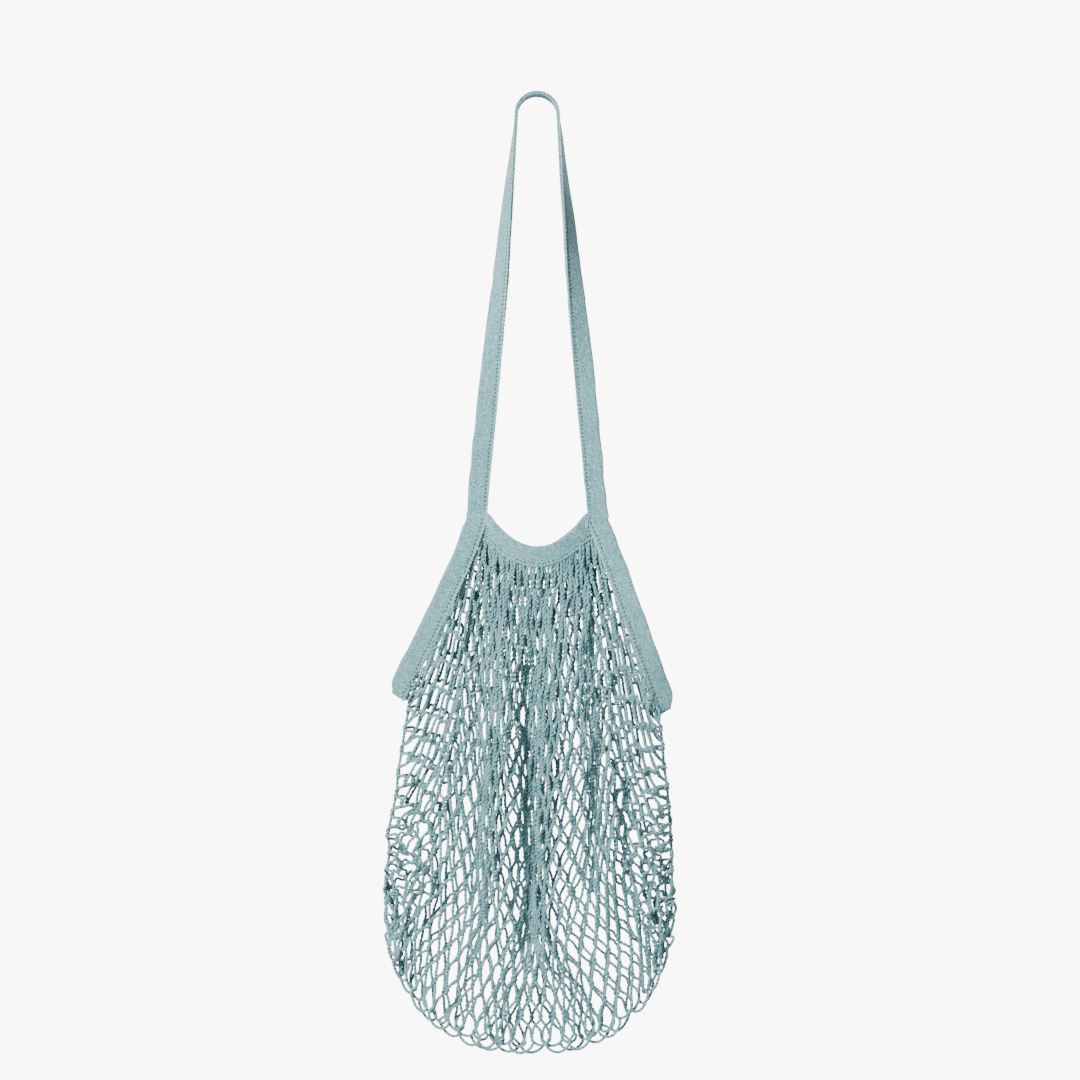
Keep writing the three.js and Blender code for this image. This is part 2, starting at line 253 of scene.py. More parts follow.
# %% The side tapes' lines
ARMHOLE_DEPTH = 12 * MM
LEFT = {"name": "left", "sign": -1, "turn_x": 102 * MM, "turn_z": FOLD_Z - 128 * MM, "bow": 1.15}
RIGHT = {"name": "right", "sign": 1, "turn_x": 94 * MM, "turn_z": FOLD_Z - 139 * MM, "bow": 1.0}
LEG_POINTS = 7
LEG_TOP_Z = FOLD_Z - TACK_RADIUS - GAP
LEG_TOP_DEPTH, LEG_TOP_LAP = 0.65 * MM, 3 * MM
LEG_TILT, TURN_TILT = math.radians(24), math.radians(36)
LEVEL_SHARE = 0.08


def side_line(side):
    """Down the front leg of one armhole, round the turn and up the back leg."""
    t = np.arange(LEG_POINTS) / LEG_POINTS
    x = FOOT_X + (side["turn_x"] - FOOT_X) * t ** side["bow"]
    y = LEG_TOP_DEPTH + ARMHOLE_DEPTH * np.sin(math.pi * t ** 1.3)
    z = LEG_TOP_Z + (side["turn_z"] - LEG_TOP_Z) * t
    front = np.stack([side["sign"] * x, -y, z], axis=1)
    turn = [[side["sign"] * side["turn_x"], 0, side["turn_z"]]]
    back = front[::-1] * (1, -1, 1)
    top = front[:1] + (0, 0, LEG_TOP_LAP)
    points = smooth_line(np.vstack([top, front, turn, back, top * (1, -1, 1)]), LINE_STEP)
    along = unit(np.gradient(points, axis=0))
    share = np.linspace(0, 1, len(points))
    near_turn = 1 - np.abs(2 * share - 1)
    tilt = LEG_TILT + (TURN_TILT - LEG_TILT) * near_turn
    across = np.stack([-side["sign"] * np.cos(tilt), 0 * tilt, -np.sin(tilt)], axis=1)
    across -= along * np.sum(across * along, axis=1, keepdims=True)
    across = unit(across)
    level = np.clip(np.minimum(share, 1 - share) / LEVEL_SHARE, 0, 1)[:, None]
    across = unit(np.array([-side["sign"], 0, 0]) * (1 - level) + across * level)
    return points, across


# %% The rims' lines
RIM_HALF_LENGTH = 33.5 * MM
RIM_TUCK = 11 * MM
RIM_SAG = 19 * MM
RIM_RISE = 3.2 * MM
RIM_END_DEPTH, RIM_MIDDLE_DEPTH, RIM_HIDDEN_DEPTH = 2.6 * MM, 8.2 * MM, 0.45 * MM
RIM_WIDENING = 0.86
RIM_END_SLOPE = 2 * RIM_SAG / RIM_HALF_LENGTH
RIM_END_Z = FOLD_Z + 1.5 * MM - TAPE_WIDTH / 2 * math.hypot(1, RIM_END_SLOPE)


def rim_line(face):
    """A hanging curve between the side tapes, with its ends tucked in under them."""
    reach = RIM_HALF_LENGTH + RIM_TUCK
    x = np.linspace(-reach, reach, int(2 * reach / LINE_STEP))
    middle = np.clip(1 - (x / RIM_HALF_LENGTH) ** 2, 0, 1)
    tucked = np.clip(np.abs(x) - RIM_HALF_LENGTH, 0, None)
    depth = RIM_END_DEPTH + (RIM_MIDDLE_DEPTH - RIM_END_DEPTH) * middle
    y = face * (depth - (RIM_END_DEPTH - RIM_HIDDEN_DEPTH) * smoothstep(-1 * MM, 4 * MM, tucked))
    z = RIM_END_Z - RIM_SAG * middle + 0.9 * np.minimum(tucked, RIM_RISE) + 0.03 * tucked
    points = smooth_line(np.stack([x, y, z], axis=1)[::6], LINE_STEP)
    x = points[:, 0]
    near_end = np.minimum(np.abs(x), RIM_HALF_LENGTH) / RIM_HALF_LENGTH
    stretch = np.hypot(1, RIM_WIDENING * RIM_END_SLOPE * near_end)
    across = np.stack([0 * x, 0 * x, -stretch], axis=1)
    return points, across


# %% [markdown]
# ## Folded tape
# Each tape is a strip of fine knit, folded in two along its length and sewn along its open edges. A
# grid has the strip's columns and rows already, so the grid's points are sent to their places: across
# the strip, round the fold and back, and along the line. Solidify then gives the cloth its thickness.
# The seam pulls a shallow groove and small puckers into both plies, and the edges wander a little.

# %% Make one folded tape
TAPE_COLUMNS = 30
TAPE_ROW_STEP = 1.1 * MM
STITCH_PITCH = 2.9 * MM
SEAM_INSET = 2.2 * MM
GROOVE_WIDTH, FLARE_WIDTH = 1.1 * MM, 1.6 * MM
CLOTH_UV_UNIT = 1.0 * MM
PLY_OFFSET = (TAPE_THICKNESS - PLY) / 2
STRIP_WIDTH = 2 * (TAPE_WIDTH - TAPE_THICKNESS / 2) + math.pi * PLY_OFFSET
THIN_END, THIN_SHARE = 0.45, 0.04
TURN_WIDTH = 0.022
# The cloth's slow wanders: how long each wave is, and how far it goes.
FINE_EDGE, SLOW_EDGE, FOLDED_EDGE = (9 * MM, 0.28 * MM), (38 * MM, 0.45 * MM), (14 * MM, 0.35 * MM)
LONG_WAVE, MIDDLE_WAVE = (22 * MM, 0.30 * MM), (30 * MM, 0.35 * MM)


def drift(run, wave, seed):
    """A smooth random wander along a length."""
    wavelength, size = wave
    rng = np.random.default_rng(seed)
    count = int(run.max() / wavelength) + 4
    marks = rng.uniform(-1, 1, count)
    place = run / wavelength + 1
    low = np.floor(place).astype(int)
    share = place - low
    share = share * share * (3 - 2 * share)
    return (marks[low] * (1 - share) + marks[np.minimum(low + 1, count - 1)] * share) * size


def section_of(strip, offset):
    """Sends a place on the flat strip to its place in the folded section: across, and through."""
    half = TAPE_WIDTH / 2
    fold_centre = -half + TAPE_THICKNESS / 2
    straight = half - fold_centre
    bend = math.pi * offset
    strip = strip * (2 * straight + bend)
    on_front = strip < straight
    on_back = strip > straight + bend
    angle = np.clip((strip - straight) / bend, 0, 1) * math.pi
    back = fold_centre + strip - straight - bend
    across = np.where(on_back, back, fold_centre - offset * np.sin(angle))
    across = np.where(on_front, half - strip, across)
    through = np.where(on_back, -offset, offset * np.cos(angle))
    return strip, across, np.where(on_front, offset, through)


def sewn_cloth(across, through, place, seed):
    """The seam's groove, the flared open edge, small puckers, and the cloth's own wander."""
    from_edge = TAPE_WIDTH / 2 - across
    stitch = np.cos(2 * math.pi * place / STITCH_PITCH)
    groove = np.exp(-((from_edge - SEAM_INSET) / GROOVE_WIDTH) ** 2)
    flare = smoothstep(FLARE_WIDTH, 0, from_edge)
    through = through * (1 - 0.22 * groove + flare * (0.10 + 0.10 * stitch))
    across = across + drift(place, FINE_EDGE, seed) + drift(place, SLOW_EDGE, seed + 1)
    across = across + flare * (0.28 * MM) * stitch - flare * 0.2 * MM
    by_fold = smoothstep(3 * MM, 0, across + TAPE_WIDTH / 2)
    across = across + by_fold * drift(place, FOLDED_EDGE, seed + 4)
    pucker = smoothstep(8 * MM, 2 * MM, from_edge) * np.sin(math.pi * place / STITCH_PITCH)
    through = through + pucker * 0.10 * MM + drift(place, LONG_WAVE, seed + 2)
    middle = 1 - (2 * across / TAPE_WIDTH) ** 2
    return across, through + middle * drift(place, MIDDLE_WAVE, seed + 3)


def map_strip(tape, strip, place):
    """A UV map in millimetres, across the flat strip and along it."""
    layer = tape.data.uv_layers.active
    layer.name = "cloth"
    corner = np.empty(len(tape.data.loops), np.int32)
    tape.data.loops.foreach_get("vertex_index", corner)
    uv = np.stack([strip, place], axis=1)[corner] / CLOTH_UV_UNIT
    layer.data.foreach_set("uv", uv.astype(np.float32).ravel())


def select_only(made):
    bpy.ops.object.select_all(action="DESELECT")
    made.select_set(True)
    bpy.context.view_layer.objects.active = made


def thicken(tape, ply):
    """Gives the cloth its thickness, less where ply is under 1, and points its faces outwards."""
    solidify = tape.modifiers.new("ply", "SOLIDIFY")
    solidify.thickness = PLY
    solidify.offset = 0
    if ply.min() < 1:
        group = tape.vertex_groups.new(name="ply")
        for value in np.unique(np.round(ply, 3)):
            chosen = np.flatnonzero(np.abs(ply - value) < 0.0006).tolist()
            group.add(chosen, float(value), "REPLACE")
        solidify.vertex_group = "ply"
    select_only(tape)
    bpy.ops.object.modifier_apply(modifier="ply")
    bpy.ops.object.mode_set(mode="EDIT")
    bpy.ops.mesh.select_all(action="SELECT")
    bpy.ops.mesh.normals_make_consistent(inside=False)
    bpy.ops.object.mode_set(mode="OBJECT")
    bpy.ops.object.shade_smooth_by_angle(angle=math.radians(60))


def carried(values, run, place):
    """A line's values, read at other places along it."""
    return np.stack([np.interp(place, run, values[:, axis]) for axis in range(3)], axis=1)


def folded_tape(name, line, seed, thin_ends=False, turn_pull=0.0):
    """A folded tape along a line. turn_pull draws it in towards its sewn edge at the line's middle."""
    points, across_vectors = line
    run = run_lengths(points)
    rows = int(run[-1] / TAPE_ROW_STEP)
    bpy.ops.object.select_all(action="DESELECT")
    bpy.ops.mesh.primitive_grid_add(x_subdivisions=TAPE_COLUMNS, y_subdivisions=rows, size=1)
    tape = bpy.context.object
    tape.name = tape.data.name = name
    flat = np.empty(len(tape.data.vertices) * 3)
    tape.data.vertices.foreach_get("co", flat)
    across_share, along_share = (flat.reshape(-1, 3) + (0.5, 0.5, 0)).T[:2]
    place = along_share * run[-1]
    ply = np.ones(len(place))
    if thin_ends:
        from_end = np.minimum(along_share, 1 - along_share)
        ply = THIN_END + (1 - THIN_END) * smoothstep(0, THIN_SHARE, from_end)
    strip, side, depth = section_of(across_share, PLY_OFFSET * ply)
    side, depth = sewn_cloth(side, depth, place, seed)
    turn = np.exp(-((along_share - 0.5) / TURN_WIDTH) ** 2)
    side = TAPE_WIDTH / 2 - (TAPE_WIDTH / 2 - side) * (1 - turn_pull * turn)
    across = carried(across_vectors, run, place)
    along = unit(carried(unit(np.gradient(points, axis=0)), run, place))
    through = unit(np.cross(along, across))
    side = side * np.linalg.norm(across, axis=1)
    placed = carried(points, run, place) + unit(across) * side[:, None] + through * depth[:, None]
    tape.data.vertices.foreach_set("co", placed.astype(np.float32).ravel())
    map_strip(tape, strip, place)
    thicken(tape, ply)
    print(f"{name}: {run[-1] / MM:.0f} mm of tape, {len(tape.data.polygons)} faces")
    return tape, run[-1]


# %% [markdown]
# ## Handle, side tapes and rims
# The same strip of tape makes all five: one long handle, one loop for each armhole, and two short
# rims that close the mouth. Each gets its own seed, so that no two wander alike. The ends that are
# tucked in under another tape are pressed thin, as they are under the real stitches.

# %% The five tapes
HANDLE_SEED, SIDE_SEED, RIM_SEED, SEED_STEP = 11, 30, 60, 10
SIDE_TURN_PULL = 0.3
handle_path = handle_line()
handle_tape, handle_length = folded_tape("folded_handle_tape", handle_path, HANDLE_SEED)
side_lines = {"left": side_line(LEFT), "right": side_line(RIGHT)}
side_tapes, side_lengths = {}, {}
for order, (name, line) in enumerate(side_lines.items()):
    seed = SIDE_SEED + SEED_STEP * order
    made, length = folded_tape(f"folded_{name}_side_tape", line, seed, True, SIDE_TURN_PULL)
    side_tapes[name], side_lengths[name] = made, length
rim_lines = {"front": rim_line(-1), "back": rim_line(1)}
rim_tapes, rim_lengths = {}, {}
for order, (name, line) in enumerate(rim_lines.items()):
    seed = RIM_SEED + SEED_STEP * order
    made, length = folded_tape(f"folded_{name}_rim_tape", line, seed, True)
    rim_tapes[name], rim_lengths[name] = made, length

# %% [markdown]
# ## Seams
# A chain stitch closes each tape. Its loops sit one in the next like a row of beads, so the thread is
# a tube whose thickness swells and narrows once for each loop, with a groove of shade beside it.

# %% Chain stitches
BEAD_SIDES = 6
BEAD_STEP = 0.42 * MM
BEAD_WAIST, BEAD_POWER = 0.30, 1.1
HANDLE_BEAD, SIDE_BEAD, RIM_BEAD = 1.5 * MM, 1.9 * MM, 1.35 * MM
# Each tape has one row round its open edge, and one on its face.
EDGE_LIFT = 0.75 * MM
FACE_LIFT = TAPE_THICKNESS / 2 + 0.05 * MM
HANDLE_SUNK = 0.2 * MM
HANDLE_EDGE_INSET, EDGE_INSET = 0.5 * MM, 0.3 * MM
HANDLE_FACE_INSET, RIM_FACE_INSET = SEAM_INSET - 0.8 * MM, SEAM_INSET - 1.1 * MM


def beads_object(name, lines, diameter, pitch):
    """Closed tubes that swell once for each stitch."""
    stitched = []
    for line in lines:
        length = run_lengths(line)[-1]
        line = at_lengths(line, np.linspace(0, length, int(length / BEAD_STEP)))
        wave = np.abs(np.sin(math.pi * run_lengths(line) / pitch)) ** BEAD_POWER
        stitched.append((line, BEAD_WAIST + (1 - BEAD_WAIST) * wave))
    made = tubes_object(name, [line for line, _ in stitched], diameter, BEAD_SIDES, 0.0, pitch)
    coordinates = np.empty(len(made.data.vertices) * 3, np.float32)
    made.data.vertices.foreach_get("co", coordinates)
    coordinates = coordinates.reshape(-1, 3)
    first = 0
    for line, swell in stitched:
        last = first + len(line) * BEAD_SIDES
        rings = coordinates[first:last].reshape(len(line), BEAD_SIDES, 3)
        rings[:] = line[:, None] + (rings - line[:, None]) * swell[:, None, None]
        first = last
    made.data.vertices.foreach_set("co", coordinates.ravel())
    return made


def seam_line(line, inset, lift):
    """A line along a tape, inset from its sewn edge and lifted off its face."""
    points, across = line
    along = unit(np.gradient(points, axis=0))
    through = unit(np.cross(along, across))
    reach = (TAPE_WIDTH / 2 - inset) * np.linalg.norm(across, axis=1, keepdims=True)
    return points + unit(across) * reach + through * lift


handle_seam = beads_object("handle_chain_stitch", [
    seam_line(handle_path, HANDLE_EDGE_INSET, -EDGE_LIFT),
    seam_line(handle_path, HANDLE_FACE_INSET, FACE_LIFT - HANDLE_SUNK),
], HANDLE_BEAD, STITCH_PITCH)
side_seams = {}
for name, outward in (("left", 1), ("right", -1)):
    side_seams[name] = beads_object(f"{name}_side_chain_stitch", [
        seam_line(side_lines[name], EDGE_INSET, outward * EDGE_LIFT),
        seam_line(side_lines[name], SEAM_INSET, -outward * FACE_LIFT),
    ], SIDE_BEAD, STITCH_PITCH)
rim_seams = {}
for name, outward in (("front", 1), ("back", -1)):
    rim_seams[name] = beads_object(f"{name}_rim_chain_stitch", [
        seam_line(rim_lines[name], EDGE_INSET, outward * EDGE_LIFT),
        seam_line(rim_lines[name], RIM_FACE_INSET, -outward * FACE_LIFT),
    ], RIM_BEAD, STITCH_PITCH)

# %% [markdown]
# ## Tacks
# Where a foot of the handle meets its side tape, the seam is whipped over and over with thread, which
# makes a narrow roll as long as the tape is wide. A thread wound round a line is a helix, so the tack
# is one tube along a helix. The small bar tacks at the rims' ends are a few stitches side by side.

# %% Foot tacks
WHIP_PITCH, WHIP_END = 1.3 * MM, 0.4 * MM
WHIP_DEPTH, WHIP_REACH = 1.2 * MM, 2.4 * MM
POINTS_PER_TURN = 16
whip_turns = int(TAPE_WIDTH / WHIP_PITCH)
foot_tacks = {}
for name, sign in (("left", -1), ("right", 1)):
    angle = np.linspace(0, 2 * math.pi * whip_turns, POINTS_PER_TURN * whip_turns)
    along_x = np.linspace(-TAPE_WIDTH / 2 + WHIP_END, TAPE_WIDTH / 2 - WHIP_END, len(angle))
    wound = np.stack([sign * FOOT_X + along_x, WHIP_DEPTH * np.cos(angle),
                      FOLD_Z + WHIP_REACH * np.sin(angle)], axis=1)
    foot_tacks[name] = tubes_object(f"{name}_foot_whipping", [wound], THREAD, 6, 0.05)

# %% Bar tacks
BAR_STITCHES = 4
BAR_RADIUS, BAR_ROUND, BAR_STEP = 0.45 * MM, 0.3 * MM, 0.75 * MM


def bar_tack(face, hand):
    """A row of short upright stitches where the frame has its plain tack."""
    low, high = box_of(f"{face}_{hand}_rim_tack")
    bpy.ops.object.select_all(action="DESELECT")
    bpy.ops.mesh.primitive_cylinder_add(
        vertices=10, radius=BAR_RADIUS, depth=high[2] - low[2], location=(low + high) / 2)
    bar = bpy.context.object
    bar.name = bar.data.name = f"{face}_{hand}_bar_tack"
    bpy.ops.object.transform_apply(location=True, rotation=True, scale=True)
    bevel = bar.modifiers.new("round", "BEVEL")
    bevel.width = BAR_ROUND
    bevel.segments = 2
    bpy.ops.object.modifier_apply(modifier="round")
    array = bar.modifiers.new("row", "ARRAY")
    array.count = BAR_STITCHES
    array.use_relative_offset = False
    array.use_constant_offset = True
    array.constant_offset_displace = (BAR_STEP, 0, 0)
    bpy.ops.object.modifier_apply(modifier="row")
    bar.data.transform(Matrix.Translation((-BAR_STEP * (BAR_STITCHES - 1) / 2, 0, 0)))
    bpy.ops.object.shade_smooth_by_angle(angle=math.radians(50))
    bar.data.uv_layers.active.name = "yarn"
    return bar


bar_tacks = {(face, hand): bar_tack(face, hand)
             for face in ("front", "back") for hand in ("left", "right")}
print("tacks:", len(foot_tacks), "whippings and", len(bar_tacks), "bar tacks")

# %% [markdown]
# ## The net
# The knitted net is a tube of zigzag yarns. Each yarn leans left and right in turn, and wherever it
# meets its neighbour the two twist round each other once, which makes the long knots. Modelling one
# yarn and arranging copies would give a stiff lattice. Here the knots hang as points in a grid instead:
# they are pinned under the tapes, spread over the bulging front and back, and pulled together where a
# yarn would be too long. The yarns are then drawn through them.

# %% The net's outline
NET_DROP = 386 * MM
NET_BOTTOM = FOLD_Z - NET_DROP
CORNER_HEIGHT = 120 * MM
CORNER_Z = NET_BOTTOM + CORNER_HEIGHT
CORNER_POWER = 2.5
CORNER_TURN = 0.12
NET_CENTRE_X = -3 * MM
BELLY = {-1: 106 * MM, 1: 100 * MM}
SEWN_IN = 1.0 * MM
LEG_SPARE = 4 * MM


def side_at(side, z):
    """How far the net reaches to one side at each height, below that side's turn."""
    sign = side["sign"]
    top = side["turn_x"] - sign * NET_CENTRE_X
    share = np.clip((side["turn_z"] - z) / (side["turn_z"] - CORNER_Z), 0, 1)
    upper = top + (BELLY[sign] - top) * np.sin(math.pi / 2 * share)
    drop = np.clip((CORNER_Z - z) / CORNER_HEIGHT, 0, 1)
    lower = BELLY[sign] * (1 - drop ** CORNER_POWER) ** (1 / CORNER_POWER)
    return NET_CENTRE_X + sign * np.where(z > CORNER_Z, upper, lower)


def bottom_line():
    """The rounded bottom, from the left corner to the right one."""
    angle = np.linspace(CORNER_TURN, math.pi - CORNER_TURN, 240)
    cosine, sine = np.cos(angle), np.sin(angle)
    reach = np.where(cosine > 0, BELLY[-1], BELLY[1])
    x = NET_CENTRE_X - np.sign(cosine) * reach * np.abs(cosine) ** (2 / CORNER_POWER)
    z = CORNER_Z - CORNER_HEIGHT * sine ** (2 / CORNER_POWER)
    return np.stack([x, 0 * x, z], axis=1)


def leg_edge(name, face):
    """The sewn edge of one leg of a side tape, from its turn up to its top."""
    points, across = side_lines[name]
    edge = points + across * (TAPE_WIDTH / 2 - SEWN_IN)
    half = len(edge) // 2
    return edge[:half + 1][::-1] if face < 0 else edge[half:]


def top_line(face):
    """The net's top: up the left leg, along the rim's lower edge and down the right leg."""
    points, across = rim_lines["front" if face < 0 else "back"]
    rim = points + across * (TAPE_WIDTH / 2 - SEWN_IN)
    left, right = leg_edge("left", face), leg_edge("right", face)[::-1]
    left = left[left[:, 2] < rim[0, 2] + LEG_SPARE]
    right = right[right[:, 2] < rim[-1, 2] + LEG_SPARE]
    return left, rim, right


# %% Columns and rows
CELLS_PER_FACE = 28
FACE_COLUMNS = 2 * CELLS_PER_FACE
COLUMNS = 2 * FACE_COLUMNS
ROWS = 26
LEG_SHARE = 0.14
ROW_STRETCH, ROW_SHIFT = 0.03, 0.09
# Where the columns bunch up (more) or open out (less): place across the face, how much, how wide.
BUNCHES = ((0.515, 3.8, 0.036), (0.335, 2.2, 0.035), (0.15, 1.2, 0.05), (0.86, 1.2, 0.04),
           (0.435, -0.15, 0.03), (0.64, -0.20, 0.05), (0.76, 1.6, 0.028))
BOTTOM_BUNCHES = ((0.12, 0.8, 0.04), (0.27, 0.9, 0.03), (0.42, 1.2, 0.04),
                  (0.63, 1.1, 0.04), (0.86, 1.0, 0.04))
BUNCH_SHIFT, BOTTOM_SHIFT = 0.02, 0.03


def part_way(points, shares):
    """The points at some shares of a line's length."""
    return at_lengths(points, np.asarray(shares) * run_lengths(points)[-1])


def crowd(share, shift, bunches):
    """Columns stand closer together in the folds."""
    fine = np.linspace(0, 1, 400)
    density = 1 + sum(more * np.exp(-((fine - place - shift) / wide) ** 2)
                      for place, more, wide in bunches)
    whole = np.concatenate([[0], np.cumsum((density[1:] + density[:-1]) / 2)])
    return np.interp(share, whole / whole[-1], fine)


def column_shares(face):
    """How far across its face each column is. The back's stand half a cell to one side."""
    share = np.linspace(0, 1, FACE_COLUMNS + 1)
    step_aside = 0.5 / FACE_COLUMNS * np.sin(math.pi * share).clip(0) ** 0.3 * (face + 1)
    return np.minimum(share + step_aside, 1)


def row_shares(face):
    """How far down each row is, with the back's rows lower than the front's below the rim."""
    down = np.linspace(0, 1, ROWS + 1)
    stretch = ROW_STRETCH + ROW_SHIFT * face * smoothstep(0.25, 0.6, down)
    return down * (1 + stretch * (1 - down))


def face_top(share, face):
    """The top of each column, sewn into the left leg, the rim or the right leg."""
    left, rim, right = top_line(face)
    by_rim = part_way(rim, (share - LEG_SHARE) / (1 - 2 * LEG_SHARE))
    by_right = part_way(right, (share - 1 + LEG_SHARE) / LEG_SHARE)
    top = np.where((share <= 1 - LEG_SHARE)[:, None], by_rim, by_right)
    return np.where((share < LEG_SHARE)[:, None], part_way(left, share / LEG_SHARE), top)


def spread_columns(share, top, bottom, down, left_x, right_x, face):
    """How far across the net each knot is: gathered at the top, bunched in folds, even below."""
    spread_top = (top[:, 0, None] - left_x) / (right_x - left_x)
    spread_bottom = (bottom[:, 0, None] - left_x) / (right_x - left_x)
    spread_middle = crowd(share, BUNCH_SHIFT * face, BUNCHES)[:, None] + 0 * left_x
    quick = 1 - (1 - down[None, :]) ** 1.35
    slow = smoothstep(0.70, 1.0, down)[None, :]
    spread = spread_top * (1 - quick) + spread_middle * quick
    return spread * (1 - slow) + spread_bottom * slow


# %% [markdown]
# ## Where the knots would hang
# Seen from the front, a knot's place comes from its column and its row, between the sewn top and the
# rounded bottom. Its depth comes from the belly, some shallow pleats and three deep folds. The back
# has the same folds a little to one side, so the two faces don't line up.

# %% Belly, pleats and folds
BELLY_DEPTH = 23 * MM
LEAST_DEPTH = 1.2 * MM
STRAY_EDGE = 1 * MM
# Shallow pleats: how many half waves across the net, where they start, and how deep they are.
PLEATS = ((11.0, 0.3, 3.6 * MM), (6.0, 1.9, 3.0 * MM), (17.0, 4.1, 1.8 * MM))
# The deep folds: where each lies, how far the cloth goes in, and how wide it is.
VALLEYS = ((0, 21 * MM, 11 * MM), (-40 * MM, 11 * MM, 6 * MM), (47 * MM, 11 * MM, 6 * MM))
VALLEY_SHIFT = 4 * MM
LOOSENESS = np.array([0.85, 1.4, 0.9]) * MM
MOST_LOOSE = 1.8


def depth_of(x, z, spread, down, rim_z, face):
    """How far the cloth stands off the bag's middle plane at each knot."""
    fallen = np.clip((rim_z - z) / (rim_z - NET_BOTTOM), 0, 1)
    belly = BELLY_DEPTH * np.sin(math.pi * fallen ** 1.1).clip(0) ** 0.8
    width = np.clip(spread, 0, 1)
    profile = np.clip(1 - (2 * width - 1) ** 2, 0, 1) ** 0.75
    pleats = sum(size * np.sin(waves * math.pi * width + turn) for waves, turn, size in PLEATS)
    valleys = -sum(depth * np.exp(-((x - place - face * VALLEY_SHIFT) / wide) ** 2)
                   for place, depth, wide in VALLEYS)
    valleys = valleys * (smoothstep(-0.02, 0.16, down) * smoothstep(0.85, 0.6, down))[None, :]
    free = np.sin(math.pi * np.clip(down, 0, 1))[None, :] ** 0.6 * np.clip(profile * 1.6, 0, 1)
    depth = (RIM_MIDDLE_DEPTH * (1 - fallen) + belly) * profile + (pleats + valleys) * free
    return np.maximum(depth, LEAST_DEPTH * profile)


def loosened(points, share, seed):
    """Small random shifts of the knots, larger near the sides, where the net is slack."""
    rng = np.random.default_rng(seed)
    loose = rng.normal(0, 1, points.shape).clip(-MOST_LOOSE, MOST_LOOSE) * LOOSENESS
    loose[share * (1 - share) < 0.12] *= 2.1
    loose[np.sin(math.pi * share) <= 0.05] *= 0.4
    loose[:, 0] = loose[:, -1] = 0
    return points + loose


def face_targets(face, seed):
    """Where the knots of one face would hang: columns along the first axis, rows along the second."""
    share, down = column_shares(face), row_shares(face)
    top = face_top(share, face)
    bottom = part_way(bottom_line(), crowd(share, BOTTOM_SHIFT * face, BOTTOM_BUNCHES))
    z = top[:, None, 2] + (bottom[:, None, 2] - top[:, None, 2]) * down[None, :]
    left_x, right_x = side_at(LEFT, z), side_at(RIGHT, z)
    spread = spread_columns(share, top, bottom, down, left_x, right_x, face)
    x = left_x + (right_x - left_x) * np.clip(spread, 0, 1)
    y = face * depth_of(x, z, spread, down, top[FACE_COLUMNS // 2, 2], face)
    near_top = (1 - down) ** 3
    y = y * (1 - near_top) + top[:, 1, None] * near_top
    points = np.stack([x, y, z], axis=2)
    points[:, 0], points[:, -1] = top, bottom
    points = loosened(points, share, seed)
    points[:, :, 0] = np.clip(points[:, :, 0], left_x - STRAY_EDGE, right_x + STRAY_EDGE)
    return points


def side_column(side):
    """Knots that the two faces share down one side of the bag."""
    start = leg_edge(side["name"], -1)[0]
    down = np.linspace(0, 1, ROWS + 1)
    z = start[2] + (bottom_line()[0, 2] - start[2]) * down
    column = np.stack([side_at(side, z), 0 * z, z], axis=1)
    blend_in = smoothstep(0, 0.25, down)[:, None]
    return column * blend_in + (start * (1, 0, 0) + column * (0, 1, 1)) * (1 - blend_in)


knots = np.zeros((COLUMNS, ROWS + 1, 3))
knots[:FACE_COLUMNS + 1] = face_targets(-1, 7)
knots[FACE_COLUMNS:] = face_targets(1, 8)[::-1][:-1]
for column, side in ((0, LEFT), (FACE_COLUMNS, RIGHT)):
    knots[column] = side_column(side)
print("knots:", knots.shape, "from", knots.min(axis=(0, 1)) / MM, "to", knots.max(axis=(0, 1)) / MM)

# %% [markdown]
# ## Let the net settle
# The targets say where the net should hang, but not whether its yarns are long enough. Each yarn
# between two knots has a most length, and knots in a row can't be closer than two yarns. A few dozen
# rounds of small corrections bring both nearly right. It is the same idea as a cloth simulation, on
# the few thousand knots only, so it takes a second or two and gives the same result each time.

# %% Settle the knots
SETTLING_ROUNDS = 80
YARN_RUN = 16.0 * MM
HOME_PULL, RUN_PULL, BESIDE_PUSH = 0.08, 0.8, 0.5
LEAST_BESIDE = 1.35 * YARN
column_index, row_index = np.meshgrid(np.arange(COLUMNS), np.arange(ROWS + 1), indexing="ij")
is_knot = (column_index + row_index) % 2 == 0
knot_number = np.full(is_knot.shape, -1)
knot_number[is_knot] = np.arange(is_knot.sum())
knot_points = knots[is_knot]
homes = knot_points.copy()
free_knots = (row_index[is_knot] > 0) & (row_index[is_knot] < ROWS)
below = np.array([(knot_number[k, j], knot_number[(k + step) % COLUMNS, j + 1])
                  for k in range(COLUMNS) for j in range(ROWS) if is_knot[k, j] for step in (-1, 1)])
beside = np.array([(knot_number[k, j], knot_number[(k + 2) % COLUMNS, j])
                   for k in range(COLUMNS) for j in range(1, ROWS) if is_knot[k, j]])


def correct(points, pairs, wrong, limit, strength):
    """Moves both ends of each pair part of the way to its limit, where it is wrong."""
    first, second = pairs[:, 0], pairs[:, 1]
    apart = points[second] - points[first]
    distance = np.linalg.norm(apart, axis=1)
    need = np.where(wrong(distance, limit), (distance - limit) / np.maximum(distance, 1e-9), 0)
    move = apart * (need * strength / 2)[:, None]
    total = np.zeros_like(points)
    np.add.at(total, first, move)
    np.add.at(total, second, -move)
    points[free_knots] += total[free_knots]


